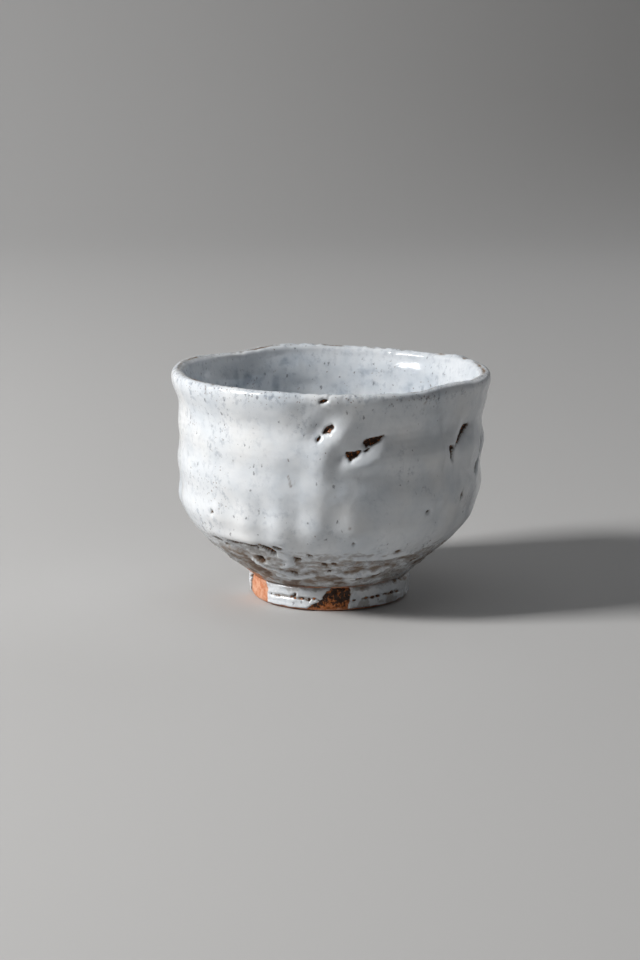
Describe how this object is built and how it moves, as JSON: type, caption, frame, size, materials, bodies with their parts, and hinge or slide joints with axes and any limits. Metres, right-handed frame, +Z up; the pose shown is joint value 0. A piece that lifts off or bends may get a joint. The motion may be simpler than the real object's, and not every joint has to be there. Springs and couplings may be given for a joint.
{
  "type": "tea bowl",
  "caption": "Hand-thrown matcha tea bowl: round-bellied wall with an uneven flared lip, small foot ring, thick white glaze with crawls and bare finger marks at the foot.",
  "frame": {"origin": "on the table, under the middle of the bowl (bottom centre of its box)", "axes": "+Z up the bowl's turning axis towards the lip; -Y the front, with the three small crawls under the lip; +X the bowl's right side seen from the front"},
  "size_m": [0.1202, 0.1198, 0.088],
  "materials": {
    "clay": "matte",
    "glaze": "gloss"
  },
  "bodies": {
    "root": {"clay_body": "clay", "foot_ring": "clay", "outer_glaze": "glaze", "inner_glaze": "glaze", "foot_glaze_front": "glaze", "foot_glaze_right": "glaze", "foot_glaze_back": "glaze", "foot_well_glaze": "glaze"}
  },
  "joints": []
}
